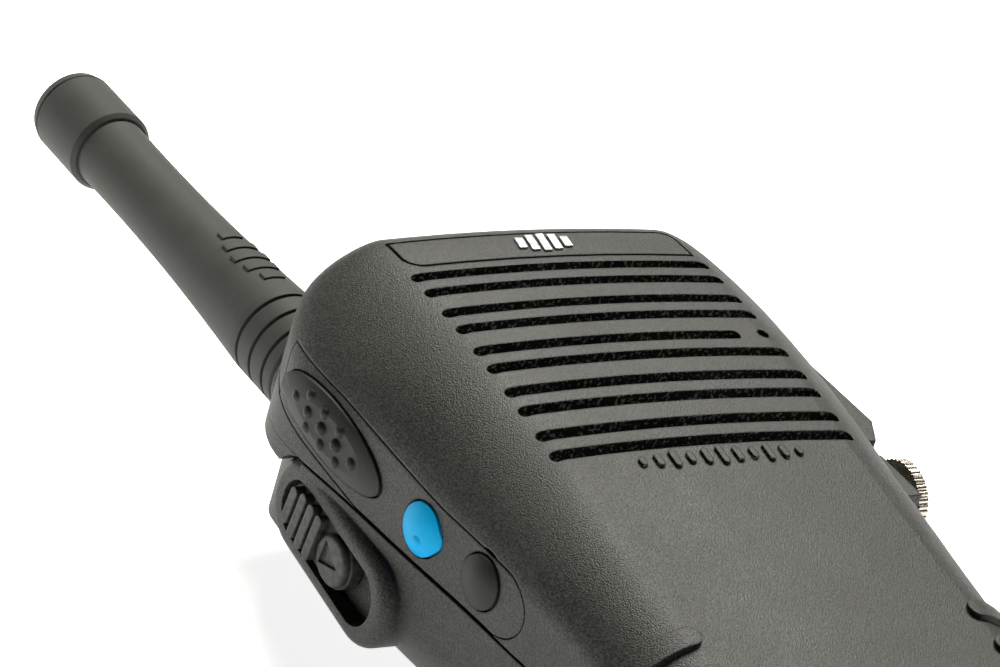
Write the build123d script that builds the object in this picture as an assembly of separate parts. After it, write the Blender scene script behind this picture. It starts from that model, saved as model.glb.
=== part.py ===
"""Rugged submersible two-way radio, lying on its back.

Frame: +X is the radio's right-hand side, +Y the antenna end, +Z out of the
speaker face.  Z = 0 is the back plane and the origin is under the middle of the
whole length, antenna included.  Lengths are millimetres.  Most features are
placed by t, the distance from the top end of the body towards its foot.
"""
import os
from math import cos, pi, radians, sin, sqrt, tan

from build123d import *

# ------------------------------------------------------------ driving sizes
BODY_LENGTH = 132.0
BODY_DEPTH = 37.7
HALF_WIDTH = 30.5
ANTENNA_REACH = 57.0            # antenna tip beyond the top end of the body
Y_TOP = (BODY_LENGTH - ANTENNA_REACH) / 2

# plan outline: round top corners, tapering sides, a narrow straight lower half
CORNER_R = 14.2
CORNER_X = HALF_WIDTH - CORNER_R
TAPER = radians(6.6)
TAPER_END = 52.0
WAIST_R = 200.0
BOTTOM_R = 8.0
TAPER_START = CORNER_R * (1 + sin(TAPER))
W_START = CORNER_X + CORNER_R * cos(TAPER)
W_END = W_START - (TAPER_END - TAPER_START) * tan(TAPER)
WAIST_T = TAPER_END + WAIST_R * sin(TAPER)
W_WAIST = W_END - WAIST_R * (1 - cos(TAPER))

# side profile: a high crest by the speaker, falling away to a thin lower half
EDGE_R = 6.4
CREST_T = 8.7
CREST_R = 173.0
FALL = radians(9.5)
FALL_END = 72.0
EASE_R = 150.0
FOOT_R = 5.0
FALL_START = CREST_T + CREST_R * sin(FALL)
DROP_START = CREST_R * (1 - cos(FALL))
DROP_END = DROP_START + (FALL_END - FALL_START) * tan(FALL)
EASE_END = FALL_END + EASE_R * sin(FALL)
DROP_FOOT = DROP_END + EASE_R * (1 - cos(FALL))

# cross-section: a nearly flat face, broad shoulders, flat sides, round back
FACE_X = 17.5
FACE_R = 264.0
SHOULDER_DROP = 0.9
BACK_TURN_Z = 12.0

# stack of the body, as heights above the back
WALL = 2.0
SPLIT_Z = 18.6                  # front case above, rear chassis below
DECK_Z0 = 14.5
DECK_Z1 = 17.0
RIM_Z1 = 19.5
RIM_INSET = 2.5
BATTERY_Z1 = 14.2
BATTERY_T0 = 17.0
BULKHEAD_T0 = 14.7
BULKHEAD_T1 = 16.7
SHELF_T = 3.5
SHELF_Z1 = 26.3
TOWER_T1 = 5.7
TOWER_Z1 = 26.0
GAP = 0.2

# rear body: narrower than the front case at the top, with softer corners
REAR_HALF = 29.4
REAR_CORNER_R = 17.5
REAR_T0 = 1.0
REAR_Z1 = 16.5
REST_STEP = 0.3
REST_PANEL = (24.0, 88.0)
REST_T = 74.0
CHARGE_X, CHARGE_T = 6.5, 124.0

# the battery's side walls rise outside the chassis core
HOUSING_T0 = 17.5
HOUSING_Z1 = 18.3
CORE_HALF = 24.5
CORE_STEP_T = 44.0
CORE_INSET = 2.6
CORE_FOOT_T = 129.4

# speaker face
SLOT_T = (12.3, 15.24, 19.01, 21.95, 25.72, 28.66, 32.43, 35.37, 39.14, 42.08)
SLOT_LENGTH = 38.4
SLOT_WIDTH = 1.4
SHORT_SLOT = 4
SHORT_SLOT_X1 = 14.5
MIC_X = 17.85
MIC_T = 25.5
GROOVE = 0.35
SPEAKER_X = -1.5
SPEAKER_T = 27.2
SPEAKER_Z = 33.0
SPEAKER_R = 15.5
SPEAKER_TILT = 5.9

# control side, placed by t and z on the left wall
BEZEL_DEPTH = 1.2
PTT_T, PTT_Z = 20.5, 23.8
PTT_LENGTH, PTT_HEIGHT, PTT_TILT = 18.4, 6.4, 9.4
BLUE_T, BLUE_Z = 36.8, 22.5
BLUE_R, BLUE_TIP_R, BLUE_TIP_OFFSET = 2.85, 1.6, 1.6
BLACK_T, BLACK_Z, BLACK_R = 46.6, 22.5, 2.85
KEY_RISE = 1.1
KEY_SAG = 0.8
KEY_SWITCH_Z = 23.6
DOT_R = 0.75
DOT_RISE = 0.3
FLANGE = 0.5
CAP_DEPTH = 2.1
STEM_DEPTH = 4.0
SEAL_DEPTH = 4.9

# accessory side
COVER_T0, COVER_T1, COVER_Z0, COVER_Z1 = 13.0, 35.5, 19.2, 28.4
TAB_T1, TAB_Z0, TAB_Z1 = 44.4, 19.6, 27.2
SCREW_T, SCREW_Z, SCREW_HEAD_R = 39.6, 23.4, 4.4
SCREW_R = 1.5
SOCKET_T0, SOCKET_T1, SOCKET_Z0, SOCKET_Z1 = 16.5, 30.0, 20.8, 26.4

# latches, placed from the middle of their opening
LATCH_X, LATCH_T, LATCH_Z, LATCH_TILT = 30.0, 25.2, 12.3, radians(8.0)
LATCH_OPENING = (19.6, 6.6)
LATCH_BOSS = (24.6, 10.6)
LATCH_BOSS_EDGE = 1.5

# top end
ANTENNA_X, ANTENNA_Z = -21.0, 19.6
SOCKET_R = 3.8
STUD_R = 2.95
KNOB_Z, KNOB_R = 18.5, 5.6
KNOB_FLUTES = 12
CHANNEL_X, VOLUME_X = -3.2, 14.5
SHAFT_R = 2.0
SHAFT_BORE_R = 2.05
BUSHING_R = 3.5
LENS_X, LENS_Z, LENS_R = 5.65, 23.6, 0.9

# fasteners
BOSSES = ((17.2, 61.0), (-17.2, 61.0), (17.2, 120.0), (-17.2, 120.0))
BOSS_R = 2.6
M3_R = 1.5
M3_TAP_R = 1.25
CLIP_X, CLIP_T = 9.0, 10.0

FAR = 80.0


# ------------------------------------------------------------ outer shape
def arc(radius, offset):
    """Height of a circle above its centre at an offset from that centre."""
    return sqrt(max(radius * radius - offset * offset, 0.0))


def half_width(t, inset=0.0):
    """Half the body's width at t, with the whole skin moved in by inset."""
    if t < CORNER_R + (CORNER_R - inset) * sin(TAPER):
        return CORNER_X + arc(CORNER_R - inset, CORNER_R - t)
    if t < WAIST_T - (WAIST_R + inset) * sin(TAPER):
        return side_x(t) - inset / cos(TAPER)
    if t < WAIST_T:
        return W_WAIST + WAIST_R - arc(WAIST_R + inset, t - WAIST_T)
    if t < BODY_LENGTH - BOTTOM_R:
        return W_WAIST - inset
    return W_WAIST - BOTTOM_R + arc(BOTTOM_R - inset, t - (BODY_LENGTH - BOTTOM_R))


def side_x(t):
    """Half width on the straight tapering part of the sides."""
    return W_START - (t - TAPER_START) * tan(TAPER)


def crown(t, inset=0.0):
    """Height of the face on the centre line."""
    if t < EDGE_R:
        return BODY_DEPTH - EDGE_R + arc(EDGE_R - inset, EDGE_R - t)
    if t < CREST_T:
        return BODY_DEPTH - inset
    if t < CREST_T + (CREST_R - inset) * sin(FALL):
        return BODY_DEPTH - CREST_R + arc(CREST_R - inset, t - CREST_T)
    if t < EASE_END - (EASE_R + inset) * sin(FALL):
        return BODY_DEPTH - DROP_START - (t - FALL_START) * tan(FALL) - inset / cos(FALL)
    if t < EASE_END:
        return BODY_DEPTH - DROP_FOOT + EASE_R - arc(EASE_R + inset, EASE_END - t)
    if t < BODY_LENGTH - FOOT_R:
        return BODY_DEPTH - DROP_FOOT - inset
    return BODY_DEPTH - DROP_FOOT - FOOT_R + arc(FOOT_R - inset, t - (BODY_LENGTH - FOOT_R))


def back(t, inset=0.0):
    """Height of the back on the centre line."""
    if t < FOOT_R:
        return FOOT_R - arc(FOOT_R - inset, FOOT_R - t)
    if t > BODY_LENGTH - FOOT_R:
        return FOOT_R - arc(FOOT_R - inset, t - BODY_LENGTH + FOOT_R)
    return inset


def section(t, inset):
    """Closed cross-section of the body at t."""
    y = Y_TOP - t
    side = half_width(t, inset)
    top = crown(t, inset)
    bottom = back(t, inset)
    face_x = min(FACE_X - 0.35 * inset, FACE_X / W_WAIST * side)
    face_drop = face_x * face_x / (2 * FACE_R)
    shoulder = SHOULDER_DROP * (side - face_x)
    flat_x = 0.45 * side
    turn = bottom + BACK_TURN_Z - 0.4 * inset
    edges = [ThreePointArc((-face_x, y, top - face_drop), (0, y, top), (face_x, y, top - face_drop))]
    for sign in (1, -1):
        reach = 0.31 * (side - face_x)
        edges.append(Bezier(
            (sign * face_x, y, top - face_drop),
            (sign * (face_x + reach), y, top - face_drop - reach * face_x / FACE_R),
            (sign * side, y, top - 0.59 * shoulder),
            (sign * side, y, top - shoulder),
        ))
        edges.append(Line((sign * side, y, top - shoulder), (sign * side, y, turn)))
        edges.append(Bezier(
            (sign * side, y, turn),
            (sign * side, y, turn - 3.5),
            (sign * (flat_x + 0.43 * (side - flat_x)), y, bottom),
            (sign * flat_x, y, bottom),
        ))
    edges.append(Line((-flat_x, y, bottom), (flat_x, y, bottom)))
    return Wire(edges)


SKINS = {}


def skin(inset=0.0):
    """The body's outer shape as a solid, moved in by inset (negative = out)."""
    if inset not in SKINS:
        top_arc = [CORNER_R - (CORNER_R - inset) * cos(radians(10 * step)) for step in range(9)]
        straight = BODY_LENGTH - BOTTOM_R - top_arc[-1]
        middle = [top_arc[-1] + straight * step / 12 for step in range(1, 12)]
        foot_turns = [sin(radians(15 * step)) for step in range(7)]
        foot_arc = [BODY_LENGTH - BOTTOM_R + (BOTTOM_R - inset) * turn for turn in foot_turns]
        SKINS[inset] = Solid.make_loft([section(t, inset) for t in top_arc + middle + foot_arc])
    return SKINS[inset]


# ------------------------------------------------------------ building blocks
def block(x0, x1, t0, t1, z0, z1):
    """Box between two x, two t and two z values."""
    centre = Pos((x0 + x1) / 2, Y_TOP - (t0 + t1) / 2, (z0 + z1) / 2)
    return centre * Box(x1 - x0, t1 - t0, z1 - z0)


def zone(t0=-5.0, t1=BODY_LENGTH + 5.0, z0=-5.0, z1=FAR):
    """Everything between two t and two z values."""
    return block(-FAR, FAR, t0, t1, z0, z1)


def core(grow, z0, z1, t0=BATTERY_T0):
    """Chassis part that sits between the battery's side walls."""
    foot = CORE_FOOT_T + grow
    edge = [(CORE_HALF, t0), (CORE_HALF, CORE_STEP_T)]
    edge += [(half_width(t) - CORE_INSET, t) for t in (TAPER_END, 64.0, WAIST_T, foot)]
    points = [(x + grow, t) for x, t in edge]
    return plan_slab(points + [(-x, t) for x, t in reversed(points)], z0, z1)


def rear_relief():
    """What is trimmed off the rear body below the front case."""
    plan = Pos(0, Y_TOP - (REAR_T0 + 75)) * Rectangle(2 * REAR_HALF, 150)
    top = plan.vertices().group_by(Axis.Y)[-1]
    return zone(z1=REAR_Z1) - extrude(Pos(0, 0, -5) * fillet(top, REAR_CORNER_R), 30, dir=(0, 0, 1))


def rod_x(t, z, radius, x0, x1):
    return Pos((x0 + x1) / 2, Y_TOP - t, z) * Rot(0, 90, 0) * Cylinder(radius, abs(x1 - x0))


def rod_y(x, z, radius, t0, t1):
    return Pos(x, Y_TOP - (t0 + t1) / 2, z) * Rot(90, 0, 0) * Cylinder(radius, abs(t1 - t0))


def rod_z(x, t, radius, z0, z1):
    return Pos(x, Y_TOP - t, (z0 + z1) / 2) * Cylinder(radius, z1 - z0)


def side_plane(t, z):
    """Plane on the left side: x runs to the foot, y is up, z points out."""
    return Plane(
        origin=(-side_x(t), Y_TOP - t, z),
        x_dir=(sin(TAPER), -cos(TAPER), 0),
        z_dir=(-cos(TAPER), -sin(TAPER), 0),
    )


def latch_plane():
    """Plane of the left latch: x runs to the foot and a little to the back."""
    return Plane(
        origin=(-LATCH_X, Y_TOP - LATCH_T, LATCH_Z),
        x_dir=(0, -cos(LATCH_TILT), -sin(LATCH_TILT)),
        z_dir=(-1, 0, 0),
    )


def side_slab(plane, sketch, depth0, depth1):
    """Prism on a side plane, between two depths below the surface."""
    return extrude(plane.offset(-depth1) * sketch, depth1 - depth0, dir=plane.z_dir)


def side_box(plane, u0, u1, v0, v1, depth0, depth1):
    sketch = Pos((u0 + u1) / 2, (v0 + v1) / 2) * Rectangle(u1 - u0, v1 - v0)
    return side_slab(plane, sketch, depth0, depth1)


def profile_slab(points, x0, x1):
    """Prism along X from an outline of (t, z) points."""
    outline = Polygon(*[(Y_TOP - t, z) for t, z in points], align=None)
    plane = Plane(origin=(x0, 0, 0), x_dir=(0, 1, 0), z_dir=(1, 0, 0))
    return extrude(plane * outline, x1 - x0, dir=(1, 0, 0))


def plan_slab(points, z0, z1):
    """Prism along Z from an outline of (x, t) points."""
    outline = Polygon(*[(x, Y_TOP - t) for x, t in points], align=None)
    return extrude(Pos(0, 0, z0) * outline, z1 - z0, dir=(0, 0, 1))


def flip(shape):
    """The same shape on the other side of the radio."""
    return mirror(shape, about=Plane.YZ)


# ------------------------------------------------------------ side features
def bezel_outline(gap=0.0):
    """Outline of the control-side bezel in (t, z), shrunk by gap."""
    spine = [(9.8, 28.5), (20.0, 28.1), (30.0, 27.1), (39.0, 26.2), (48.9, 25.9)]
    end_centre = (49.3, 22.2)
    end_r = 3.7 - gap
    points = [(spine[0][0] + gap, 22.0 + gap), (spine[0][0] + gap, spine[0][1] - gap)]
    points += [(t, z - gap) for t, z in spine[1:]]
    for step in range(1, 15):
        angle = radians(90 - 12 * step)
        points.append((end_centre[0] + (end_r + 1.0) * cos(angle), end_centre[1] + end_r * sin(angle)))
    points += [(48.0, SPLIT_Z + gap), (26.5, SPLIT_Z + gap), (22.0, 19.4 + gap), (16.0, 20.6 + gap)]
    return points


def ptt_sketch(grow=0.0):
    oval = Ellipse(PTT_LENGTH / 2 + grow, PTT_HEIGHT / 2 + grow)
    return Rot(0, 0, -PTT_TILT) * oval


def blue_sketch(grow=0.0):
    round_end = Circle(BLUE_R + grow)
    tip = Pos(BLUE_TIP_OFFSET, 0) * Circle(BLUE_TIP_R + grow)
    return make_hull(round_end.edges() + tip.edges())


def black_sketch(grow=0.0):
    return Circle(BLACK_R + grow)


CONTROLS = (
    (side_plane(PTT_T, PTT_Z), ptt_sketch),
    (side_plane(BLUE_T, BLUE_Z), blue_sketch),
    (side_plane(BLACK_T, BLACK_Z), black_sketch),
)


def dome_radius(width):
    return (width / 2) ** 2 / (2 * KEY_SAG)


def dome_height(along, across, length, width):
    """Height of a key's domed top above the side plane."""
    radius = dome_radius(width)
    reach = (along * width / length) ** 2 + across ** 2
    return KEY_RISE - radius + sqrt(radius * radius - reach)


def button(plane, sketch, length, width, tilt=0.0):
    """Domed button cap with a retaining flange and a stem behind it."""
    radius = dome_radius(width)
    dome = scale(Sphere(radius), by=(length / width, 1, 1))
    cap = side_slab(plane, sketch(), -KEY_RISE, CAP_DEPTH)
    cap = cap & plane.location * Pos(0, 0, KEY_RISE - radius) * Rot(0, 0, tilt) * dome
    flange = side_slab(plane, sketch(FLANGE), CAP_DEPTH, CAP_DEPTH + 0.6) & zone(z0=RIM_Z1 + 0.4)
    flange = flange & skin(BEZEL_DEPTH + 0.3)
    middle = -(CAP_DEPTH + STEM_DEPTH) / 2
    stem = plane.location * Pos(0, 0, middle) * Cylinder(1.2, STEM_DEPTH - CAP_DEPTH)
    return cap + flange + stem


PTT_DOTS = (
    (0.0, (-6.0, -3.5, -0.9, 1.8, 4.7)),
    (1.6, (-4.2, -1.4, 1.5)),
    (-1.6, (-3.0, -0.2, 2.6)),
)


def ptt_button():
    plane = CONTROLS[0][0]
    shape = button(plane, ptt_sketch, PTT_LENGTH, PTT_HEIGHT, -PTT_TILT) & skin(-KEY_RISE + 0.3)
    dots = []
    for across, places in PTT_DOTS:
        for along in places:
            height = dome_height(along, across, PTT_LENGTH, PTT_HEIGHT) + DOT_RISE - DOT_R
            spot = Rot(0, 0, -PTT_TILT) * Pos(along, across, height)
            dots.append(plane.location * spot * Sphere(DOT_R))
    return shape + dots


def blue_button():
    plane = CONTROLS[1][0]
    shape = button(plane, blue_sketch, 2 * BLUE_R, 2 * BLUE_R)
    return shape + plane.location * Pos(0.5, -0.8, 0.35) * Sphere(0.85)


def black_button():
    return button(CONTROLS[2][0], black_sketch, 2 * BLACK_R, 2 * BLACK_R)


def side_bezel():
    body = (skin(0.0) - skin(BEZEL_DEPTH)) & profile_slab(bezel_outline(0.16), -FAR, -HALF_WIDTH / 2)
    for plane, sketch in CONTROLS:
        body -= side_slab(plane, sketch(GAP), -2.0, 4.0)
    return body


def switch_frame():
    """Frame that carries the rubber seal and the switch board."""
    plane = side_plane(30.0, 23.9)
    outer = side_box(plane, -15.4, 22.5, -3.6, 3.6, 3.7, 7.2)
    inner = side_box(plane, -14.4, 21.5, -2.6, 2.6, 3.0, 8.0)
    return (outer - inner) & skin(WALL + GAP)


def side_seal():
    plane = side_plane(30.0, 23.9)
    return side_box(plane, -14.4, 21.5, -2.6, 2.6, SEAL_DEPTH, SEAL_DEPTH + 0.5) & skin(WALL + GAP)


def side_switch_board():
    plane = side_plane(30.0, 23.9)
    return side_box(plane, -15.4, 22.5, -3.6, 3.6, 7.2, 8.0) & skin(WALL + GAP)


def side_switches():
    places = (PTT_T, BLUE_T, BLACK_T)
    return [side_box(side_plane(t, KEY_SWITCH_Z), -2.0, 2.0, -1.8, 1.8, 5.5, 7.2) for t in places]


# ------------------------------------------------------------ front case
def face_slot(t, x0, x1):
    length = x1 - x0
    outline = Pos((x0 + x1) / 2, Y_TOP - t) * SlotOverall(length, SLOT_WIDTH)
    return extrude(Pos(0, 0, 25) * outline, 20)


def engraved(outline_prism, depth=GROOVE):
    """The part of a prism that lies in the outer skin down to a depth."""
    return outline_prism - skin(depth)


def plate_outline(grow):
    half_x = 18.3 + grow
    half_y = 2.5 + grow
    rect = Rectangle(2 * half_x, 2 * half_y)
    rounded = [v for v in rect.vertices() if v.X * v.Y > 0]
    return Pos(0, Y_TOP - 7.8) * fillet(rounded, 2.0 + grow)


BADGE_BARS = ((-2.9, 2.0), (-1.45, 3.0), (0.0, 3.4), (1.45, 3.0), (2.9, 2.0))


def badge_bar(x, height, grow, z0, z1):
    lean = 0.22 * height / 2
    half = height / 2 + grow
    wide = 0.5 + grow
    y = Y_TOP - 7.6
    points = [(x - lean - wide, y - half), (x - lean + wide, y - half)]
    points += [(x + lean + wide, y + half), (x + lean - wide, y + half)]
    return extrude(Pos(0, 0, z0) * Polygon(*points, align=None), z1 - z0, dir=(0, 0, 1))


RELIEF_PITCH = 1.98
RELIEF_T = 44.6
RELIEF_HEIGHTS = (1.0, 1.6, 2.2, 1.4, 1.9, 2.4, 1.9, 1.4, 2.2, 1.6, 1.0)


def relief_marks():
    """A raised row of rounded level bars below the speaker slots."""
    bars = []
    middle = len(RELIEF_HEIGHTS) // 2
    for number, height in enumerate(RELIEF_HEIGHTS):
        x = 0.35 + (number - middle) * RELIEF_PITCH
        outline = Pos(x, Y_TOP - RELIEF_T) * Rot(0, 0, 90) * SlotOverall(height + 0.2, 0.8)
        bars.append(extrude(Pos(0, 0, 25) * outline, 15))
    return [(bar & skin(-0.35)) - skin(1.0) for bar in bars]


GRIP_RIBS = [68.5 + 5.2 * number for number in range(5)]


def grip_ribs():
    """Raised ribs wrapping over both shoulders below the speaker."""
    ribs = []
    for t in GRIP_RIBS:
        outline = Pos(-18.0 - 10.0, Y_TOP - t) * SlotOverall(20.0 + 2.4, 2.4)
        rib = (extrude(Pos(0, 0, SPLIT_Z + 1.2) * outline, 30) & skin(-0.55)) - skin(1.0)
        ribs += [rib, flip(rib)]
    return ribs


def front_case():
    case = (skin(0.0) & zone(z0=SPLIT_Z)) - skin(WALL)
    case += skin(0.0) & zone(t1=TOWER_T1 + GAP, z0=SHELF_Z1)
    case -= zone(t1=TOWER_T1 + GAP, z1=SHELF_Z1)
    for rib in grip_ribs() + relief_marks():
        case += rib
    for x, t in BOSSES:
        case += rod_z(x, t, BOSS_R, DECK_Z1 + 0.1, 40) & skin(1.0)
        case -= rod_z(x, t, M3_TAP_R, 10, crown(t, WALL) - 2.0)
    cover_post = rod_x(SCREW_T, SCREW_Z, 3.2, side_x(SCREW_T) - 8.5, FAR) & skin(1.0)
    case += cover_post
    case -= rod_x(SCREW_T, SCREW_Z, 2.4, side_x(SCREW_T) - 8.0, FAR)
    recess = profile_slab(bezel_outline(), -FAR, -HALF_WIDTH / 2) - skin(BEZEL_DEPTH)
    case -= recess
    for plane, sketch in CONTROLS:
        case -= side_slab(plane, sketch(FLANGE + 0.3), -2.0, 3.5) & zone(z0=SPLIT_Z + 0.4)
    for number, t in enumerate(SLOT_T):
        x1 = SHORT_SLOT_X1 if number == SHORT_SLOT else SLOT_LENGTH / 2
        case -= face_slot(t, -SLOT_LENGTH / 2, x1)
    case -= rod_z(MIC_X, MIC_T, 0.7, 25, 45)
    ring = extrude(Pos(0, 0, 25) * (plate_outline(GROOVE / 2) - plate_outline(-GROOVE / 2)), 20)
    case -= engraved(ring)
    for x, height in BADGE_BARS:
        case -= badge_bar(x, height, 0.0, 25, 45) - skin(0.4)
    corner_line = profile_slab([(5.0, 23.8), (9.9, 21.9), (9.9, 22.25), (5.1, 24.15)], -FAR, 0)
    case -= engraved(corner_line)
    case -= accessory_opening()
    return case


def badge():
    """Five slanted metal bars let into the face."""
    return [(badge_bar(x, height, 0.0, 25, 45) & skin(-0.25)) - skin(0.4) for x, height in BADGE_BARS]


# ------------------------------------------------------------ rear chassis
def rear_chassis():
    body = skin(0.0) & zone(t0=SHELF_T, t1=BULKHEAD_T1, z0=REST_STEP, z1=SPLIT_Z)
    body -= rear_relief()
    boss_room = SlotOverall(LATCH_BOSS[0] + 0.5, LATCH_BOSS[1] + 0.5)
    boss_room = side_slab(latch_plane(), boss_room, -5.0, LATCH_X - CORE_HALF)
    body -= boss_room + flip(boss_room)
    body += core(0.0, DECK_Z0, SPLIT_Z, BULKHEAD_T1 - 0.5)
    body += skin(RIM_INSET) & zone(t0=TOWER_T1, z0=SPLIT_Z - 0.1, z1=RIM_Z1)
    body += skin(0.0) & zone(t0=SHELF_T, t1=TOWER_T1, z0=SPLIT_Z - 1.0, z1=TOWER_Z1)
    body -= core(-WALL, DECK_Z1, FAR, BULKHEAD_T1)
    body -= block(-20.6, 20.6, TOWER_T1, BULKHEAD_T0, WALL, FAR) & skin(WALL)
    body += rod_y(ANTENNA_X, ANTENNA_Z, 5.5, SHELF_T, TOWER_T1)
    body -= seal_strands(0.06)
    for x, t in BOSSES:
        body -= rod_z(x, t, BOSS_R + 0.3, DECK_Z1, 30)
        body -= rod_z(x, t, M3_R + 0.1, 10, 20)
        body -= rod_z(x, t, 2.8, 10, DECK_Z0 + 1.4)
    for x in (-CLIP_X, CLIP_X):
        body += rod_z(x, CLIP_T, 3.6, 0.5, 7.0)
        body -= rod_z(x, CLIP_T, 2.2, -1, 6.2)
    for x in (CHANNEL_X, VOLUME_X):
        body -= rod_y(x, KNOB_Z, BUSHING_R + 0.05, 0, TOWER_T1 + 1)
    body -= rod_y(ANTENNA_X, ANTENNA_Z, SOCKET_R, 0, BULKHEAD_T0)
    body -= rod_y(LENS_X, LENS_Z, LENS_R, 0, TOWER_T1 + 1)
    body -= block(-9.2, 9.2, 21.8, 28.2, 10, 20)
    body -= block(-12.3, 12.3, 126.2, 128.3, 10, DECK_Z0 + 1.3)
    return body - latch_catch() - flip(latch_catch())


def seal_strands(grow):
    """Gasket run between the case and the chassis rim, and over the tower."""
    ring = (skin(WALL + 0.02) - skin(3.0 + grow)) & zone(t0=13.5, z0=18.7 - grow, z1=19.15 + grow)
    brow = block(-20.0, 24.0, 4.0 - grow, 5.2 + grow, TOWER_Z1 - 0.6 - grow, SHELF_Z1 - 0.02)
    return ring + (brow & skin(1.2))


def main_seal():
    return seal_strands(0.0)


# ------------------------------------------------------------ speaker and microphone
def speaker_place():
    return Pos(SPEAKER_X, Y_TOP - SPEAKER_T, SPEAKER_Z) * Rot(SPEAKER_TILT, 0, 0)


def turned(points):
    """Solid of revolution about Z from (radius, height) points."""
    plane = Plane.XZ
    return revolve(plane * Polygon(*points, align=None), Axis.Z)


def speaker_basket():
    r = SPEAKER_R
    points = [(r, 0), (r, -1.6), (r - 2.2, -2.2), (9.0, -4.4), (9.0, -5.0), (7.6, -5.0)]
    points += [(7.6, -4.4), (r - 3.0, -1.6), (r - 1.4, -1.2), (r - 1.4, 0)]
    return speaker_place() * turned(points)


def speaker_magnet():
    points = [(0, -7.4), (9.0, -7.4), (9.0, -5.0), (7.6, -5.0), (7.6, -4.4), (0, -4.4)]
    return speaker_place() * turned(points)


def speaker_cone():
    r = SPEAKER_R - 1.4
    points = [(0, -2.6), (3.8, -3.3), (r - 1.8, -0.6), (r - 0.9, -0.2), (r, -0.6), (r, -0.9)]
    points += [(r - 1.0, -0.5), (r - 1.8, -0.9), (3.8, -3.7), (0, -3.0)]
    return speaker_place() * turned(points)


def speaker_clamp():
    """Ring that presses the speaker to the face, with two screw ears."""
    ring = turned([(SPEAKER_R + 0.1, 0), (SPEAKER_R + 1.4, 0), (SPEAKER_R + 1.4, -2.6),
                   (SPEAKER_R - 1.0, -2.6), (SPEAKER_R - 1.0, -1.95), (SPEAKER_R + 0.1, -1.65)])
    return speaker_place() * ring


def speaker_gauze():
    """Fine cloth against the inside of the face, over the slots."""
    return (skin(WALL) - skin(WALL + 0.35)) & block(-20.6, 20.6, 10.6, 44.0, 28, 40)


def microphone():
    return rod_z(MIC_X, MIC_T, 1.9, 29.4, 31.4)


def microphone_boot():
    boot = rod_z(MIC_X, MIC_T, 2.4, 28.8, 40) & skin(WALL + 0.4)
    return boot - rod_z(MIC_X, MIC_T, 1.9, 29.4, 31.4) - rod_z(MIC_X, MIC_T, 0.7, 31.0, 40)


# ------------------------------------------------------------ electronics
BOARD_Z0, BOARD_Z1 = 19.7, 21.3
CANS = ((-15.5, -0.8, 66.0, 90.0), (0.8, 15.5, 66.0, 90.0), (-14.0, 14.0, 94.0, 113.0))


def main_board():
    lower = skin(3.2) & zone(t0=54.0, t1=127.0, z0=BOARD_Z0, z1=BOARD_Z1)
    board = lower + block(-16.5, 16.5, 17.5, 55.0, BOARD_Z0, BOARD_Z1)
    for x, t in BOSSES:
        board -= rod_z(x, t, BOSS_R + 0.4, 10, 30)
    return board


def shield_cans():
    cans = []
    for x0, x1, t0, t1 in CANS:
        can = block(x0, x1, t0, t1, BOARD_Z1, BOARD_Z1 + 2.4)
        cans.append(can - block(x0 + 0.3, x1 - 0.3, t0 + 0.3, t1 - 0.3, BOARD_Z1, BOARD_Z1 + 2.1))
    return cans


def contact_block():
    body = block(-9.0, 9.0, 22.0, 28.0, DECK_Z0, 19.5)
    for x in (-6.0, 0.0, 6.0):
        body -= rod_z(x, 25.0, 0.9, 10, 30)
    return body


def contact_pins():
    return [rod_z(x, 25.0, 0.9, BATTERY_Z1, BOARD_Z0) for x in (-6.0, 0.0, 6.0)]


# ------------------------------------------------------------ accessory side
def accessory_opening():
    return block(20.0, FAR, SOCKET_T0, SOCKET_T1, SOCKET_Z0, SOCKET_Z1)


def accessory_socket():
    x0 = 20.5
    x1 = side_x(SOCKET_T1) - 1.4
    body = block(x0, x1, SOCKET_T0 + 0.1, SOCKET_T1 - 0.1, SOCKET_Z0 + 0.1, SOCKET_Z1 - 0.1)
    for t, z in contact_places():
        body -= rod_x(t, z, 0.5, x0 - 1, FAR)
    return body


def contact_places():
    return [(18.4 + 1.94 * column, z) for column in range(6) for z in (22.3, 24.9)]


def accessory_contacts():
    x1 = side_x(SOCKET_T1) - 1.1
    return [rod_x(t, z, 0.5, 18.9, x1) for t, z in contact_places()]


def accessory_insert():
    x1 = side_x(SCREW_T) - 0.5
    x0 = side_x(SCREW_T) - 8.0
    return rod_x(SCREW_T, SCREW_Z, 2.4, x0, x1) - rod_x(SCREW_T, SCREW_Z, SCREW_R + 0.05, x0 + 0.8, x1 + 1)


def accessory_cover():
    """Wedge-shaped cover with a thinner tab under its thumb screw."""
    wedge = [(20.0, COVER_T0), (30.75, COVER_T0), (31.05, 31.8), (29.0, COVER_T1), (20.0, COVER_T1)]
    wedge = plan_slab(wedge, COVER_Z0, COVER_Z1)
    tab = [(20.0, 35.0), (28.75, 35.0), (28.75, 36.6), (29.3, 36.6), (29.3, TAB_T1), (20.0, TAB_T1)]
    tab = plan_slab(tab, TAB_Z0, TAB_Z1)
    plug = block(20.0, 29.5, SOCKET_T0 + 0.3, SOCKET_T1 - 0.3, SOCKET_Z0 + 0.3, SOCKET_Z1 - 0.3)
    plug = plug & plan_slab([(side_x(10) - 0.9, 10), (FAR, 10), (FAR, 40), (side_x(40) - 0.9, 40)], 0, 40)
    shape = (wedge + tab) - skin(-0.15) + plug
    shape -= cover_seal()
    return shape - rod_x(SCREW_T, SCREW_Z, SCREW_R + 0.1, 10, 40)


def cover_seal():
    """Rubber ring around the plug, let into the cover."""
    ring = block(20, FAR, SOCKET_T0 - 1.3, SOCKET_T1 + 1.3, SOCKET_Z0 - 1.1, SOCKET_Z1 + 1.3)
    ring -= block(10, FAR, SOCKET_T0 - 0.5, SOCKET_T1 + 0.5, SOCKET_Z0 - 0.3, SOCKET_Z1 + 0.5)
    return ring & (skin(-0.5) - skin(-0.05))


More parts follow.
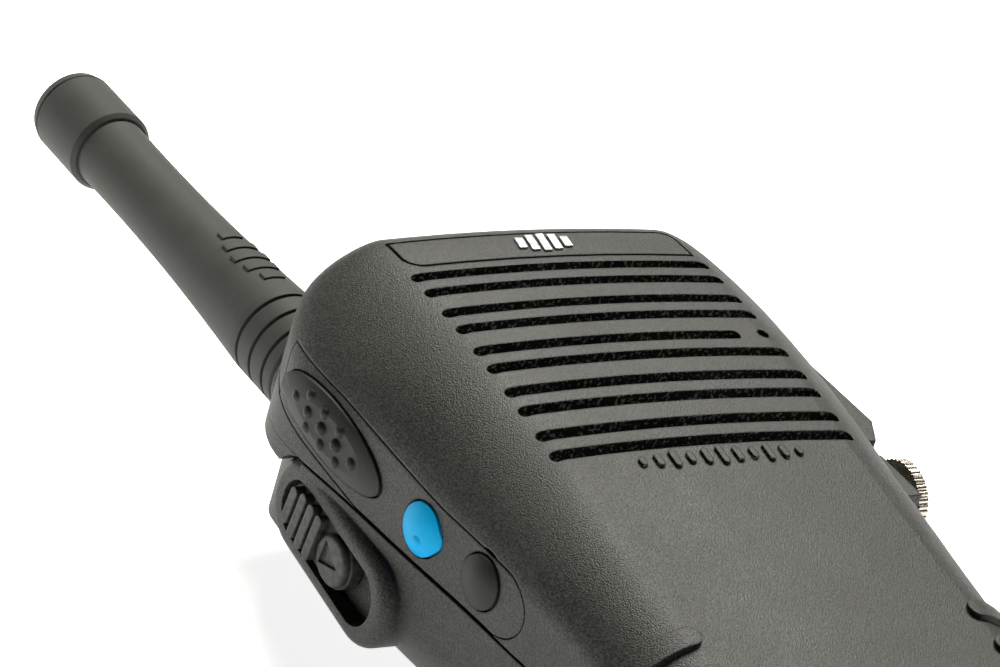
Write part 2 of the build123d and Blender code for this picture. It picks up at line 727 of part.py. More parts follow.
def cover_screw():
    """Knurled thumb screw, captive in the cover's tab."""
    x0 = 30.3
    head = rod_x(SCREW_T, SCREW_Z, SCREW_HEAD_R, x0, x0 + 1.25)
    teeth = 40
    for number in range(teeth):
        angle = 2 * pi * number / teeth
        t = SCREW_T + (SCREW_HEAD_R + 0.12) * cos(angle)
        z = SCREW_Z + (SCREW_HEAD_R + 0.12) * sin(angle)
        head -= rod_x(t, z, 0.24, x0 - 1, x0 + 2)
    head -= rod_x(SCREW_T, SCREW_Z, 2.9, x0 + 0.95, x0 + 2)
    neck = rod_x(SCREW_T, SCREW_Z, 2.1, 29.4, x0)
    shank = rod_x(SCREW_T, SCREW_Z, SCREW_R, side_x(SCREW_T) - 6.5, 29.4)
    return head + neck + shank


# ------------------------------------------------------------ battery
def battery_case():
    body = skin(0.0) & zone(t0=BATTERY_T0, z0=REST_STEP, z1=BATTERY_Z1)
    body += extrude(Pos(0, Y_TOP - REST_T) * RectangleRounded(*REST_PANEL, 3.0), 1.0, dir=(0, 0, 1))
    walls = skin(0.0) & zone(t0=HOUSING_T0, z0=BATTERY_Z1 - 1.0, z1=HOUSING_Z1)
    body += walls - core(0.3, BATTERY_Z1, FAR, 0.0)
    body -= rear_relief()
    boss = side_slab(latch_plane(), SlotOverall(*LATCH_BOSS), 0.0, LATCH_X - CORE_HALF - 0.3)
    boss = fillet(boss.edges().group_by(Axis.X)[0], LATCH_BOSS_EDGE)
    body += [boss, flip(boss)]
    body += block(-12.0, 12.0, 126.5, 128.0, BATTERY_Z1 - 1.0, DECK_Z0 + 1.0)
    body -= skin(1.8) & zone(t0=44.0, t1=125.5, z1=13.0)
    body -= lid_shape(0.0)
    body -= block(-17.0, 17.0, 19.5, 43.0, 3.0, 13.0)
    body -= latch_cut() + flip(latch_cut())
    for x in (-CHARGE_X, CHARGE_X):
        body -= rod_z(x, CHARGE_T, 2.0, -1, REST_STEP + 0.5)
    return body


def lid_shape(gap):
    wide = core(-1.0 - gap, 13.0, BATTERY_Z1, 44.0) & zone(t1=126.0 - gap)
    return wide + block(-18.2 + gap, 18.2 - gap, 18.6 + gap, 45.0, 13.0, BATTERY_Z1)


def battery_lid():
    lid = lid_shape(0.02)
    for x in (-6.0, 0.0, 6.0):
        lid -= block(x - 2.0, x + 2.0, 23.0, 27.0, BATTERY_Z1 - 0.4, 20)
    return lid


def battery_terminals():
    return [block(x - 2.0, x + 2.0, 23.0, 27.0, BATTERY_Z1 - 0.4, BATTERY_Z1) for x in (-6.0, 0.0, 6.0)]


def battery_cells():
    cells = []
    for t0 in (45.0, 85.5):
        cell = block(-17.2, 17.2, t0, t0 + 39.5, 3.4, 12.8)
        cells.append(fillet(cell.edges().filter_by(Axis.Y), 4.2))
    return cells


def battery_board():
    return block(-16.0, 16.0, 21.0, 42.0, 9.0, 10.0)


def charge_contacts():
    return [rod_z(x, CHARGE_T, 2.0, REST_STEP + 0.1, REST_STEP + 0.5) for x in (-CHARGE_X, CHARGE_X)]


def latch_cut():
    """Opening, neck slot and inner channel of the left latch."""
    plane = latch_plane()
    opening = side_slab(plane, SlotOverall(*LATCH_OPENING), -5.0, 2.2)
    slot = side_box(plane, -7.4, 2.8, -1.5, 1.5, 2.0, 3.4)
    channel = side_box(plane, -9.2, 5.7, -2.0, 4.5, 3.2, 5.4)
    return opening + slot + channel


def latch_catch():
    """L-shaped catch slot in the chassis for the latch tooth."""
    plane = latch_plane()
    run = side_box(plane, -8.8, -1.0, 2.2, 4.6, 5.0, 7.5)
    way_out = side_box(plane, -4.3, -1.0, -1.5, 4.6, 5.0, 7.5)
    return run + way_out


def latch_slider():
    """Thumb pad of the left latch, with grip ribs and a recessed arrow."""
    plane = latch_plane()
    pad = side_slab(plane, Pos(-2.45, 0) * SlotOverall(13.7, 6.0), 0.6, 2.0)
    for number in range(4):
        rib = Pos(-7.6 + 1.75 * number, 0) * SlotOverall(5.7 if number else 4.6, 1.2, rotation=90)
        pad += side_slab(plane, rib, -0.6, 0.8)
    raised = side_slab(plane, Pos(1.35, 0) * SlotOverall(5.8, 5.3), -0.25, 0.8)
    raised = fillet(raised.edges().group_by(Axis.X)[0], 0.5)
    arrow = Polygon((-0.4, 1.5), (-0.4, -1.5), (2.9, 0), align=None)
    pad += raised - side_slab(plane, arrow, -1.0, 0.15)
    return pad + side_box(plane, -7.0, -2.1, -1.2, 1.2, 1.9, 3.3)


def latch_bolt():
    """Inner bolt that carries the tooth behind the housing wall."""
    plane = latch_plane()
    plate = side_box(plane, -8.8, -1.4, -1.7, 4.2, 3.3, 4.7)
    tooth = side_box(plane, -8.4, -5.8, 2.6, 4.2, 4.7, 7.1)
    return plate + tooth


def latch_spring():
    """Small return spring between the bolt and the end of its channel."""
    path = Helix(0.6, 1.8, 0.5)
    start = path @ 0
    wire = Plane(origin=start, z_dir=path % 0) * Circle(0.11)
    coil = sweep(wire, path=path)
    return latch_plane().location * Pos(-1.2, 1.0, -4.2) * Rot(0, 90, 0) * coil


# ------------------------------------------------------------ top controls
def knob(x, tip_t, flutes):
    """Fluted knob with a marker ridge, hollow under for the nut."""
    body = rod_y(x, KNOB_Z, KNOB_R, tip_t, 3.0)
    end = body.edges().group_by(Axis.Y)[-1]
    body = fillet(end, 0.8)
    for number in range(flutes):
        angle = 2 * pi * number / flutes
        groove_x = x + (KNOB_R + 0.75) * cos(angle)
        groove_z = KNOB_Z + (KNOB_R + 0.75) * sin(angle)
        body -= rod_y(groove_x, groove_z, 1.25, tip_t + 1.4, 4.0)
    body -= rod_y(x, KNOB_Z, 4.85, 1.6, 4.0)
    body -= rod_y(x, KNOB_Z, SHAFT_R, -5.5, 4.0)
    ridge = block(x - 0.4, x + 0.4, tip_t - 0.35, tip_t + 0.6, KNOB_Z + 1.2, KNOB_Z + KNOB_R - 0.9)
    return body + ridge


def knob_shaft(x):
    return rod_y(x, KNOB_Z, SHAFT_R, -5.5, 11.5)


def control_body(x):
    """Rotary control: square body and a bushing through the tower wall."""
    body = block(x - 5.8, x + 5.8, TOWER_T1 + 0.6, 12.6, KNOB_Z - 5.8, KNOB_Z + 5.8)
    body += rod_y(x, KNOB_Z, BUSHING_R, 1.9, TOWER_T1 + 0.7)
    return body - rod_y(x, KNOB_Z, SHAFT_BORE_R, 0, 11.8)


def control_nuts():
    nuts = []
    for x in (CHANNEL_X, VOLUME_X):
        plane = Plane(origin=(x, Y_TOP - SHELF_T, KNOB_Z), z_dir=(0, 1, 0))
        nut = extrude(plane * RegularPolygon(4.6, 6), 1.4)
        nuts.append(nut - rod_y(x, KNOB_Z, BUSHING_R, 0, 6))
    return nuts


def control_seals():
    seals = []
    for x in (CHANNEL_X, VOLUME_X):
        ring = rod_y(x, KNOB_Z, 5.0, TOWER_T1, TOWER_T1 + 0.6)
        seals.append(ring - rod_y(x, KNOB_Z, BUSHING_R, 0, 8))
    return seals


def status_lens():
    return rod_y(LENS_X, LENS_Z, LENS_R, SHELF_T - 0.15, TOWER_T1)


def clip_inserts():
    inserts = []
    for x in (-CLIP_X, CLIP_X):
        inserts.append(rod_z(x, CLIP_T, 2.2, REST_STEP + 0.1, 6.2) - rod_z(x, CLIP_T, M3_TAP_R, 0, 5.4))
    return inserts


def case_screws():
    screws = []
    for x, t in BOSSES:
        screw = rod_z(x, t, M3_TAP_R, DECK_Z0 + 1.4, 23.0)
        screw += rod_z(x, t, 2.5, DECK_Z0 + 0.1, DECK_Z0 + 1.4)
        slot = rod_z(x, t, 1.0, DECK_Z0 - 1, DECK_Z0 + 0.8)
        screws.append(screw - slot)
    return screws


# ------------------------------------------------------------ antenna
def antenna_turned(points):
    """Solid of revolution about the antenna's axis from (radius, t) points."""
    plane = Plane(origin=(ANTENNA_X, Y_TOP, ANTENNA_Z), x_dir=(1, 0, 0), z_dir=(0, 0, 1))
    outline = plane * Polygon(*[(radius, -t) for radius, t in points], align=None)
    return revolve(outline, Axis((ANTENNA_X, Y_TOP, ANTENNA_Z), (0, 1, 0)))


RING_GROOVES = (1.0, -1.8, -4.7)
RING_WIDTH = 0.55
RING_DEPTH = 0.4
SHEATH_TIP_T = -45.5
MARK_T = -14.0
MARK_PITCH = 2.4
MARK_WIDTH = 1.2
MARK_RISE = 0.25


def sheath_radius(t):
    """Outer radius of the sheath: a straight base, then a slow taper with a slight waist."""
    if t > -6.0:
        return 5.4
    along = (-6.0 - t) / 39.6
    return 5.4 - 1.14 * (1 - (1 - along) ** 1.5) - 0.3 * sin(pi * along)


def sheath_ring(inner, outer, t, width):
    t0 = t - width / 2
    t1 = t + width / 2
    return antenna_turned([(inner, t1), (outer, t1), (outer, t0), (inner, t0)])


def antenna_sheath():
    outline = [(2.7, 3.0), (5.1, 3.0), (5.4, 2.7), (5.4, -6.0)]
    outline += [(sheath_radius(t), t) for t in range(-9, -45, -3)]
    outline += [(sheath_radius(SHEATH_TIP_T), SHEATH_TIP_T), (2.7, SHEATH_TIP_T)]
    body = antenna_turned(outline)
    for t in RING_GROOVES:
        body -= sheath_ring(sheath_radius(t) - RING_DEPTH, 8.0, t, RING_WIDTH)
    for x, length in BADGE_BARS:
        t = MARK_T + x / BADGE_BARS[-1][0] * 2 * MARK_PITCH
        half = 0.65 * length
        bar = block(ANTENNA_X - half, ANTENNA_X + half, t - 5, t + 5, ANTENNA_Z, FAR)
        body += bar & sheath_ring(3.0, sheath_radius(t) + MARK_RISE, t, MARK_WIDTH)
    return body


def antenna_cap():
    tip = -ANTENNA_REACH
    points = [(0, -41.0), (2.6, -41.0), (2.6, -45.6), (4.55, -45.6), (5.0, -46.1), (5.0, -54.6)]
    points += [(4.85, -54.75), (4.85, -54.95), (5.0, -55.1), (4.75, -56.1), (4.1, -56.75)]
    points += [(3.3, tip), (0, tip)]
    return antenna_turned(points)


def antenna_ferrule():
    points = [(0, 10.8), (STUD_R, 10.8), (STUD_R, 3.45), (4.6, 3.45)]
    points += [(4.6, 3.0), (2.5, 3.0), (2.5, -3.0), (0, -3.0)]
    return antenna_turned(points)


def antenna_coil():
    path = Helix(2.4, 36.0, 1.7)
    start = path @ 0
    wire = Plane(origin=start, z_dir=path % 0) * Circle(0.4)
    coil = sweep(wire, path=path)
    return Pos(ANTENNA_X, Y_TOP + 3.8, ANTENNA_Z) * Rot(-90, 0, 0) * coil


def antenna_socket():
    body = rod_y(ANTENNA_X, ANTENNA_Z, SOCKET_R, SHELF_T + 0.15, 12.6)
    return body - rod_y(ANTENNA_X, ANTENNA_Z, STUD_R + 0.05, 0, 11.6)


# ------------------------------------------------------------ pieces that repeat
def channel_encoder():
    return control_body(CHANNEL_X)


def volume_control():
    return control_body(VOLUME_X)


def channel_knob():
    return knob(CHANNEL_X, -9.0, KNOB_FLUTES)


def volume_knob():
    return knob(VOLUME_X, -7.5, KNOB_FLUTES)


def channel_shaft():
    return knob_shaft(CHANNEL_X)


def volume_shaft():
    return knob_shaft(VOLUME_X)


def latch_slider_right():
    return flip(latch_slider())


def latch_bolt_right():
    return flip(latch_bolt())


def latch_spring_right():
    return flip(latch_spring())


# ------------------------------------------------------------ save
NODES = {
    "front_case": front_case,
    "rear_chassis": rear_chassis,
    "main_seal": main_seal,
    "case_screws": case_screws,
    "side_bezel": side_bezel,
    "badge": badge,
    "speaker_gauze": speaker_gauze,
    "speaker_basket": speaker_basket,
    "speaker_magnet": speaker_magnet,
    "speaker_cone": speaker_cone,
    "speaker_clamp": speaker_clamp,
    "microphone": microphone,
    "microphone_boot": microphone_boot,
    "main_board": main_board,
    "shield_cans": shield_cans,
    "switch_frame": switch_frame,
    "side_seal": side_seal,
    "side_switch_board": side_switch_board,
    "side_switches": side_switches,
    "contact_block": contact_block,
    "contact_pins": contact_pins,
    "accessory_socket": accessory_socket,
    "accessory_contacts": accessory_contacts,
    "accessory_insert": accessory_insert,
    "channel_encoder": channel_encoder,
    "volume_control": volume_control,
    "control_nuts": control_nuts,
    "control_seals": control_seals,
    "status_lens": status_lens,
    "clip_inserts": clip_inserts,
    "antenna_socket": antenna_socket,
    "battery_case": battery_case,
    "battery_lid": battery_lid,
    "battery_cells": battery_cells,
    "battery_board": battery_board,
    "battery_terminals": battery_terminals,
    "charge_contacts": charge_contacts,
    "ptt_button": ptt_button,
    "blue_button": blue_button,
    "black_button": black_button,
    "channel_knob": channel_knob,
    "channel_shaft": channel_shaft,
    "volume_knob": volume_knob,
    "volume_shaft": volume_shaft,
    "antenna_ferrule": antenna_ferrule,
    "antenna_coil": antenna_coil,
    "antenna_sheath": antenna_sheath,
    "antenna_cap": antenna_cap,
    "accessory_cover": accessory_cover,
    "cover_seal": cover_seal,
    "cover_screw": cover_screw,
    "latch_slider_left": latch_slider,
    "latch_bolt_left": latch_bolt,
    "latch_spring_left": latch_spring,
    "latch_slider_right": latch_slider_right,
    "latch_bolt_right": latch_bolt_right,
    "latch_spring_right": latch_spring_right,
}


def save(name, shape):
    if isinstance(shape, list):
        solids = [solid for item in shape for solid in item.solids()]
    else:
        solids = list(shape.solids())
    export_step(Compound(solids), f"parts/{name}.step")
    print(name, len(solids), round(sum(solid.volume for solid in solids), 1))


os.makedirs("parts", exist_ok=True)
for node_name, make in NODES.items():
    save(node_name, make())
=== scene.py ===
"""Looks for the two-way radio: stage, light, camera and procedural materials."""

import bpy
from mathutils import Matrix, Vector


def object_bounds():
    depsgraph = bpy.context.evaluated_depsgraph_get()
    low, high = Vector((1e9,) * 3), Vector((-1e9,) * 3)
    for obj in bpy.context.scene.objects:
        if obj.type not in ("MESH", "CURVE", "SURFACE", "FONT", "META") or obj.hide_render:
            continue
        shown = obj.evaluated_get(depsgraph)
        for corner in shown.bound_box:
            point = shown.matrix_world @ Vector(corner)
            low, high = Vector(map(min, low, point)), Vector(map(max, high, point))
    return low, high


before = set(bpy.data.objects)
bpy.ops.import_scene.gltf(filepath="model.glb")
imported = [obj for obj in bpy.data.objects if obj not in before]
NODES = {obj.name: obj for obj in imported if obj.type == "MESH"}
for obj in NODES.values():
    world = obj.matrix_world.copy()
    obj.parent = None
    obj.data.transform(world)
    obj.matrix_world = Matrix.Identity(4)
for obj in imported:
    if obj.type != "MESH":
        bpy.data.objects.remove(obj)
CAD_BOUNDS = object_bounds()

# ------------------------------------------------------------ camera
CAMERA_RIGHT = Vector((0.8257, -0.5016, 0.2581))
CAMERA_UP = Vector((0.0433, 0.5126, 0.8575))
CAMERA_BACK = Vector((-0.5624, -0.6969, 0.4450))
CAMERA_PLACE = Vector((-0.2852, -0.3209, 0.2506))
LENS_MM = 168.9
SENSOR_MM = 36.0
CLIP_NEAR = 0.01
CLIP_FAR = 200.0

# ------------------------------------------------------------ light
WORLD_STRENGTH = 0.02
WORLD_COLOUR = (1.0, 0.995, 0.94)
LAMP_COLOUR = (1.0, 0.985, 0.92)
FLOOR_SIZE = 30.0
FLOOR_GAP = 0.0002
FLOOR_GLOW = 0.84
FLOOR_SHADES = ((0.93, 0.93, 0.93), (0.96, 0.96, 0.955))
CLOUD_SCALE = 3.0
LAMP_AIM = Vector((0.0, 0.0, 0.02))
# name, place, width, height, power in watts
LAMPS = (
    ("key_softbox", Vector((0.43, 0.60, 1.15)), 0.8, 0.6, 35.0),
    ("fill_softbox", Vector((-1.1, 1.0, 0.2)), 0.6, 0.25, 0.5),
    ("front_softbox", Vector((0.5, -1.2, 0.9)), 0.8, 0.8, 0.8),
)


def make_camera():
    """The photograph's camera, from the perspective fit."""
    data = bpy.data.cameras.new("photo_camera")
    data.lens = LENS_MM
    data.sensor_width = SENSOR_MM
    data.clip_start = CLIP_NEAR
    data.clip_end = CLIP_FAR
    camera = bpy.data.objects.new("photo_camera", data)
    axes = Matrix((CAMERA_RIGHT, CAMERA_UP, CAMERA_BACK)).transposed()
    camera.matrix_world = Matrix.Translation(CAMERA_PLACE) @ axes.to_4x4()
    bpy.context.scene.collection.objects.link(camera)
    bpy.context.scene.camera = camera


def make_lamp(name, place, width, height, power):
    """A rectangular softbox turned towards the radio."""
    data = bpy.data.lights.new(name, "AREA")
    data.shape = "RECTANGLE"
    data.size = width
    data.size_y = height
    data.energy = power
    data.color = LAMP_COLOUR
    lamp = bpy.data.objects.new(name, data)
    lamp.location = place
    lamp.rotation_euler = (LAMP_AIM - place).to_track_quat("-Z", "Y").to_euler()
    bpy.context.scene.collection.objects.link(lamp)


def make_world():
    world = bpy.data.worlds.new("studio")
    world.use_nodes = True
    background = world.node_tree.nodes["Background"]
    background.inputs["Color"].default_value = (*WORLD_COLOUR, 1.0)
    background.inputs["Strength"].default_value = WORLD_STRENGTH
    bpy.context.scene.world = world


def make_floor():
    """Evenly lit white studio table just under the radio."""
    below = CAD_BOUNDS[0][2] - FLOOR_GAP
    bpy.ops.mesh.primitive_plane_add(size=FLOOR_SIZE, location=(0, 0, below))
    floor = bpy.context.object
    floor.name = "studio_floor"
    kit = Kit("studio_floor")
    kit.surface(roughness=0.9, specular=0.1, glow=FLOOR_GLOW)
    kit.shader.inputs["Emission Color"].default_value = (1.0, 1.0, 1.0, 1.0)
    kit.colour(kit.mix(kit.noise(CLOUD_SCALE, 2.0), *FLOOR_SHADES))
    floor.data.materials.append(kit.material)


# ------------------------------------------------------------ material tools
PLASTIC_SPECULAR = 0.3
PLASTIC_EDGE = 0.00035
RUBBER_EDGE = 0.0002
METAL_EDGE = 0.00012
SOCKETS = {
    "roughness": "Roughness",
    "metallic": "Metallic",
    "specular": "Specular IOR Level",
    "coat": "Coat Weight",
    "sheen": "Sheen Weight",
    "sheen_roughness": "Sheen Roughness",
    "transmission": "Transmission Weight",
    "glow": "Emission Strength",
}
EDGE_DOT_FLAT = 0.995
EDGE_DOT_TURNED = 0.86
# turns fine grain off the axes, so that it shows no rows
GRAIN_TURN = (0.6, 0.4, 0.9)
TOOL_LINE_STRETCH = (1.0, 1.0, 40.0)
# noise scales, in features per metre
MOTTLE_SCALE = 90.0
RUB_SCALE = 400.0
BLOOM_SCALE = 160.0
SPECK_SCALE = 2600.0
PORE_SCALE = 4200.0
TARNISH_SCALE = 260.0
TOOL_LINE_SCALE = 900.0
WEAVE_SCALE = 900.0
TRACK_SCALE = 700.0
LENS_TINT_SCALE = 500.0
LENS_RIPPLE_SCALE = 1200.0
# bump depths, in metres
PORE_DEPTH = 0.000012
TOOL_LINE_DEPTH = 0.000008
WEAVE_DEPTH = 0.00008
TRACK_DEPTH = 0.00003
LENS_RIPPLE_DEPTH = 0.000005
# how strongly each effect is mixed in
SPECKLE_SHARE = 0.6
RUBBED_SHARE = 0.5
EDGE_POLISH = -0.12
SLOT_POLISH = -0.2
# where the face slots' walls are: above this height and below the badge
SLOTS_ABOVE_Z = 0.031
SLOTS_BELOW_Y = 0.027
UPRIGHT_LIMIT = 0.5
# painted shade: the slot walls are coloured dark as if in the shade of the recesses
SLOT_PAINTED_SHADE = (0.012, 0.013, 0.012)
# painted glint: pale specks on the slot walls, standing in for reflected light
SLOT_PAINTED_GLINT = (0.42, 0.42, 0.40)
DUST_COLOUR = (0.45, 0.45, 0.43)


class Kit:
    """A small helper for wiring one node-based material."""

    def __init__(self, name):
        self.material = bpy.data.materials.new(name)
        self.material.use_nodes = True
        self.tree = self.material.node_tree
        self.shader = self.tree.nodes["Principled BSDF"]
        self.coords = self.tree.nodes.new("ShaderNodeTexCoord").outputs["Object"]
        self.normal = None

    def node(self, kind, **settings):
        item = self.tree.nodes.new(kind)
        for key, value in settings.items():
            setattr(item, key, value)
        return item

    def link(self, source, target):
        self.tree.links.new(source, target)

    def surface(self, **values):
        for key, value in values.items():
            self.shader.inputs[SOCKETS[key]].default_value = value

    def mapped(self, setting, value):
        """Object coordinates with a Mapping setting, such as Scale or Rotation, applied."""
        mapping = self.node("ShaderNodeMapping")
        mapping.inputs[setting].default_value = value
        self.link(self.coords, mapping.inputs["Vector"])
        return mapping.outputs["Vector"]

    def noise(self, scale, detail=3.0, vector=None):
        item = self.node("ShaderNodeTexNoise")
        item.inputs["Scale"].default_value = scale
        item.inputs["Detail"].default_value = detail
        self.link(vector or self.coords, item.inputs["Vector"])
        return item.outputs["Fac"]

    def cells(self, scale, vector=None):
        item = self.node("ShaderNodeTexVoronoi")
        item.inputs["Scale"].default_value = scale
        self.link(vector or self.coords, item.inputs["Vector"])
        return item.outputs["Distance"]

    def ramp(self, value, low, high, out_low=0.0, out_high=1.0):
        item = self.node("ShaderNodeMapRange")
        item.inputs["From Min"].default_value = low
        item.inputs["From Max"].default_value = high
        item.inputs["To Min"].default_value = out_low
        item.inputs["To Max"].default_value = out_high
        self.link(value, item.inputs["Value"])
        return item.outputs["Result"]

    def mix(self, factor, first, second):
        item = self.node("ShaderNodeMix", data_type="RGBA")
        self.link(factor, item.inputs["Factor"])
        for socket, value in ((item.inputs[6], first), (item.inputs[7], second)):
            if isinstance(value, tuple):
                socket.default_value = (*value, 1.0)
            else:
                self.link(value, socket)
        return item.outputs[2]

    def combine(self, first, second, operation="ADD"):
        item = self.node("ShaderNodeMath", operation=operation)
        for socket, value in ((item.inputs[0], first), (item.inputs[1], second)):
            if isinstance(value, (int, float)):
                socket.default_value = value
            else:
                self.link(value, socket)
        return item.outputs[0]

    def colour(self, value):
        self.link(value, self.shader.inputs["Base Color"])

    def roughness(self, value):
        self.link(value, self.shader.inputs["Roughness"])

    def soften_edges(self, radius):
        """Small rounding of the edges in the shading."""
        item = self.node("ShaderNodeBevel", samples=4)
        item.inputs["Radius"].default_value = radius
        self.normal = item.outputs["Normal"]
        self.link(self.normal, self.shader.inputs["Normal"])
        return self.edge_mask()

    def edge_mask(self):
        """1 along the softened edges, 0 on the open surface."""
        geometry = self.node("ShaderNodeNewGeometry")
        dot = self.node("ShaderNodeVectorMath", operation="DOT_PRODUCT")
        self.link(self.normal, dot.inputs[0])
        self.link(geometry.outputs["Normal"], dot.inputs[1])
        return self.ramp(dot.outputs["Value"], EDGE_DOT_FLAT, EDGE_DOT_TURNED)

    def bump(self, height, distance):
        item = self.node("ShaderNodeBump")
        item.inputs["Distance"].default_value = distance
        self.link(height, item.inputs["Height"])
        if self.normal:
            self.link(self.normal, item.inputs["Normal"])
        self.normal = item.outputs["Normal"]
        self.link(self.normal, self.shader.inputs["Normal"])


def slot_walls(kit):
    """1 on the upright walls cut into the face below the badge, 0 elsewhere."""
    geometry = kit.node("ShaderNodeNewGeometry")
    place = kit.node("ShaderNodeSeparateXYZ")
    facing = kit.node("ShaderNodeSeparateXYZ")
    kit.link(geometry.outputs["Position"], place.inputs["Vector"])
    kit.link(geometry.outputs["True Normal"], facing.inputs["Vector"])
    high = kit.combine(place.outputs["Z"], SLOTS_ABOVE_Z, "GREATER_THAN")
    below_badge = kit.combine(place.outputs["Y"], SLOTS_BELOW_Y, "LESS_THAN")
    steepness = kit.combine(facing.outputs["Z"], 0.0, "ABSOLUTE")
    upright = kit.combine(steepness, UPRIGHT_LIMIT, "LESS_THAN")
    return kit.combine(kit.combine(high, below_badge, "MULTIPLY"), upright, "MULTIPLY")


def moulded_plastic(name, dark, light, worn, grain_size, grain_depth, roughness,
                    painted_slot_shade_and_glints=False):
    """Textured moulded plastic: spark grain, faint mottling, edges rubbed smoother and paler; on
    request, painted shade and painted glints on the face slots' walls.
    """
    kit = Kit(name)
    kit.surface(specular=PLASTIC_SPECULAR)
    edges = kit.soften_edges(PLASTIC_EDGE)
    place = kit.mapped("Rotation", GRAIN_TURN)
    grain = kit.noise(1.0 / grain_size, 4.0, place)
    mottle = kit.noise(MOTTLE_SCALE, 4.0)
    tone = kit.mix(kit.ramp(mottle, 0.3, 0.7), dark, light)
    speckle = kit.ramp(kit.noise(0.8 / grain_size, 3.0, place), 0.40, 0.62)
    tone = kit.mix(kit.combine(speckle, SPECKLE_SHARE, "MULTIPLY"), tone, worn)
    rubbed = kit.combine(edges, kit.ramp(kit.noise(RUB_SCALE, 3.0), 0.4, 0.65), "MULTIPLY")
    tone = kit.mix(kit.combine(rubbed, RUBBED_SHARE, "MULTIPLY"), tone, worn)
    rough = kit.ramp(mottle, 0.3, 0.7, roughness - 0.04, roughness + 0.05)
    rough = kit.combine(rough, kit.combine(edges, EDGE_POLISH, "MULTIPLY"))
    if painted_slot_shade_and_glints:
        walls = slot_walls(kit)
        # painted glint: noise specks on the slot walls, coloured pale below
        painted_glints = kit.ramp(kit.noise(SPECK_SCALE, 2.0), 0.56, 0.64)
        # painted shade: the slot walls are darkened as the recesses would be in shade
        tone = kit.mix(walls, tone, SLOT_PAINTED_SHADE)
        tone = kit.mix(kit.combine(walls, painted_glints, "MULTIPLY"), tone, SLOT_PAINTED_GLINT)
        rough = kit.combine(rough, kit.combine(walls, SLOT_POLISH, "MULTIPLY"))
    kit.colour(tone)
    kit.roughness(rough)
    kit.bump(kit.combine(grain, kit.cells(1.1 / grain_size, place), "SUBTRACT"), grain_depth)
    return kit.material


def soft_rubber(name, dark, light, roughness, dust=0.1, specular=0.4):
    """Matt silicone or moulded rubber with a skin bloom and fine pores."""
    kit = Kit(name)
    kit.surface(specular=specular, sheen=0.2 * specular, sheen_roughness=0.5)
    kit.soften_edges(RUBBER_EDGE)
    bloom = kit.noise(BLOOM_SCALE, 5.0)
    tone = kit.mix(kit.ramp(bloom, 0.3, 0.7), dark, light)
    specks = kit.ramp(kit.noise(SPECK_SCALE, 2.0), 0.68, 0.78)
    kit.colour(kit.mix(kit.combine(specks, dust, "MULTIPLY"), tone, DUST_COLOUR))
    kit.roughness(kit.ramp(bloom, 0.3, 0.7, roughness - 0.05, roughness + 0.07))
    kit.bump(kit.noise(PORE_SCALE), PORE_DEPTH)
    return kit.material


def plated_metal(name, low, high, roughness):
    """Plated or machined metal with fine tool lines and a slight tarnish."""
    kit = Kit(name)
    kit.surface(metallic=1.0)
    kit.soften_edges(METAL_EDGE)
    tarnish = kit.noise(TARNISH_SCALE, 5.0)
    kit.colour(kit.mix(kit.ramp(tarnish, 0.3, 0.7), low, high))
    lines = kit.noise(TOOL_LINE_SCALE, 2.0, kit.mapped("Scale", TOOL_LINE_STRETCH))
    kit.roughness(kit.ramp(lines, 0.3, 0.7, roughness - 0.06, roughness + 0.1))
    kit.bump(lines, TOOL_LINE_DEPTH)
    return kit.material


def woven_cloth(name, dark, light):
    """Fine black mesh cloth behind the slots."""
    kit = Kit(name)
    kit.surface(roughness=0.85, specular=0.2, sheen=0.1)
    across = kit.node("ShaderNodeTexWave", wave_type="BANDS", bands_direction="X")
    along = kit.node("ShaderNodeTexWave", wave_type="BANDS", bands_direction="Y")
    for wave in (across, along):
        wave.inputs["Scale"].default_value = WEAVE_SCALE
        kit.link(kit.coords, wave.inputs["Vector"])
    weave = kit.combine(across.outputs["Fac"], along.outputs["Fac"], "MULTIPLY")
    kit.colour(kit.mix(weave, dark, light))
    kit.bump(weave, WEAVE_DEPTH)
    return kit.material


def circuit_board(name):
    """Green solder mask over copper tracks."""
    kit = Kit(name)
    kit.surface(specular=0.5, coat=0.3)
    tracks = kit.ramp(kit.cells(TRACK_SCALE), 0.28, 0.34)
    kit.colour(kit.mix(tracks, (0.03, 0.16, 0.06), (0.012, 0.08, 0.03)))
    kit.roughness(kit.ramp(tracks, 0.0, 1.0, 0.35, 0.5))
    kit.bump(tracks, TRACK_DEPTH)
    return kit.material


def clear_lens(name):
    """Clear moulded window of the status light."""
    kit = Kit(name)
    kit.surface(roughness=0.15, transmission=0.6, specular=0.6)
    kit.colour(kit.mix(kit.noise(LENS_TINT_SCALE), (0.75, 0.8, 0.76), (0.85, 0.88, 0.84)))
    kit.bump(kit.noise(LENS_RIPPLE_SCALE), LENS_RIPPLE_DEPTH)
    return kit.material


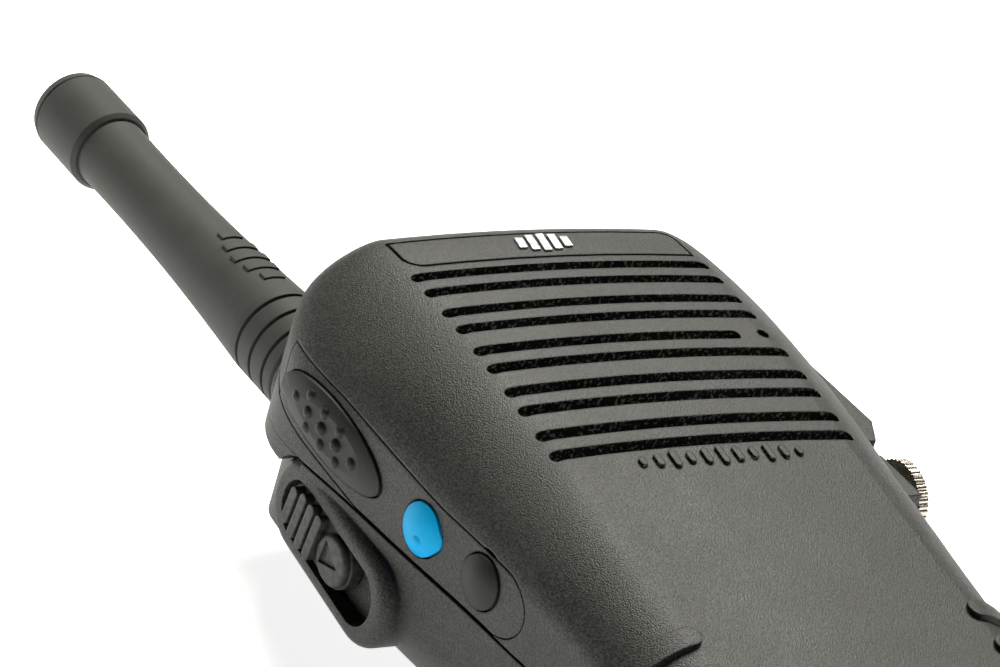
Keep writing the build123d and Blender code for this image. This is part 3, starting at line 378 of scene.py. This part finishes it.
def make_materials():
    """Every material, with the nodes that wear it."""
    case = moulded_plastic(
        "case_plastic",
        dark=(0.016, 0.0165, 0.0145),
        light=(0.024, 0.0245, 0.022),
        worn=(0.080, 0.080, 0.073),
        grain_size=0.00019,
        grain_depth=0.00004,
        roughness=0.50,
        painted_slot_shade_and_glints=True,
    )
    smooth = moulded_plastic(
        "smooth_plastic",
        dark=(0.018, 0.018, 0.017),
        light=(0.026, 0.026, 0.025),
        worn=(0.07, 0.07, 0.065),
        grain_size=0.0006,
        grain_depth=0.00001,
        roughness=0.5,
    )
    keys = soft_rubber(
        "key_rubber",
        dark=(0.013, 0.0135, 0.0125),
        light=(0.019, 0.0195, 0.018),
        roughness=0.5,
        specular=0.25,
    )
    blue = soft_rubber(
        "blue_rubber",
        dark=(0.0, 0.34, 0.70),
        light=(0.0, 0.40, 0.78),
        roughness=0.45,
        dust=0.01,
        specular=0.12,
    )
    antenna = soft_rubber(
        "antenna_rubber",
        dark=(0.042, 0.044, 0.039),
        light=(0.056, 0.058, 0.052),
        roughness=0.66,
        specular=0.25,
    )
    seal = soft_rubber("seal_rubber", (0.012, 0.012, 0.012), (0.02, 0.02, 0.02), 0.55)
    nickel = plated_metal("nickel", (0.56, 0.50, 0.44), (0.72, 0.66, 0.59), 0.26)
    silver = plated_metal("silver", (0.66, 0.66, 0.65), (0.80, 0.80, 0.79), 0.34)
    steel = plated_metal("steel", (0.36, 0.36, 0.37), (0.5, 0.5, 0.51), 0.34)
    brass = plated_metal("brass", (0.66, 0.48, 0.2), (0.82, 0.64, 0.32), 0.28)
    cells = moulded_plastic(
        "cell_sleeve",
        dark=(0.12, 0.14, 0.18),
        light=(0.16, 0.18, 0.22),
        worn=(0.25, 0.27, 0.3),
        grain_size=0.002,
        grain_depth=0.00001,
        roughness=0.3,
    )
    cloth = woven_cloth("speaker_cloth", (0.008, 0.008, 0.008), (0.03, 0.03, 0.03))
    board = circuit_board("circuit_board")
    lens = clear_lens("clear_lens")
    return {
        case: ("front_case", "rear_chassis", "side_bezel", "accessory_cover", "battery_case"),
        smooth: (
            "battery_lid", "latch_slider_left", "latch_slider_right", "latch_bolt_left",
            "latch_bolt_right", "channel_knob", "volume_knob", "switch_frame", "contact_block",
            "accessory_socket", "microphone_boot", "speaker_clamp", "side_switches",
            "channel_encoder", "volume_control", "microphone",
        ),
        keys: ("ptt_button", "black_button"),
        blue: ("blue_button",),
        antenna: ("antenna_sheath", "antenna_cap"),
        seal: ("main_seal", "side_seal", "control_seals", "cover_seal"),
        nickel: ("cover_screw", "antenna_ferrule", "antenna_socket", "control_nuts"),
        silver: ("badge",),
        steel: ("case_screws", "speaker_basket", "speaker_magnet", "channel_shaft", "volume_shaft",
                "shield_cans", "antenna_coil", "latch_spring_left", "latch_spring_right"),
        brass: ("accessory_insert", "clip_inserts", "contact_pins", "accessory_contacts",
                "battery_terminals", "charge_contacts"),
        board: ("main_board", "side_switch_board", "battery_board"),
        cloth: ("speaker_gauze", "speaker_cone"),
        cells: ("battery_cells",),
        lens: ("status_lens",),
    }


def dress(node, material):
    """Gives a piece one material in place of whatever it had."""
    mesh = NODES[node].data
    mesh.materials.clear()
    mesh.materials.append(material)


bpy.context.scene.view_settings.view_transform = "Standard"
make_camera()
make_world()
for lamp in LAMPS:
    make_lamp(*lamp)
make_floor()
for finish, names in make_materials().items():
    for node_name in names:
        dress(node_name, finish)
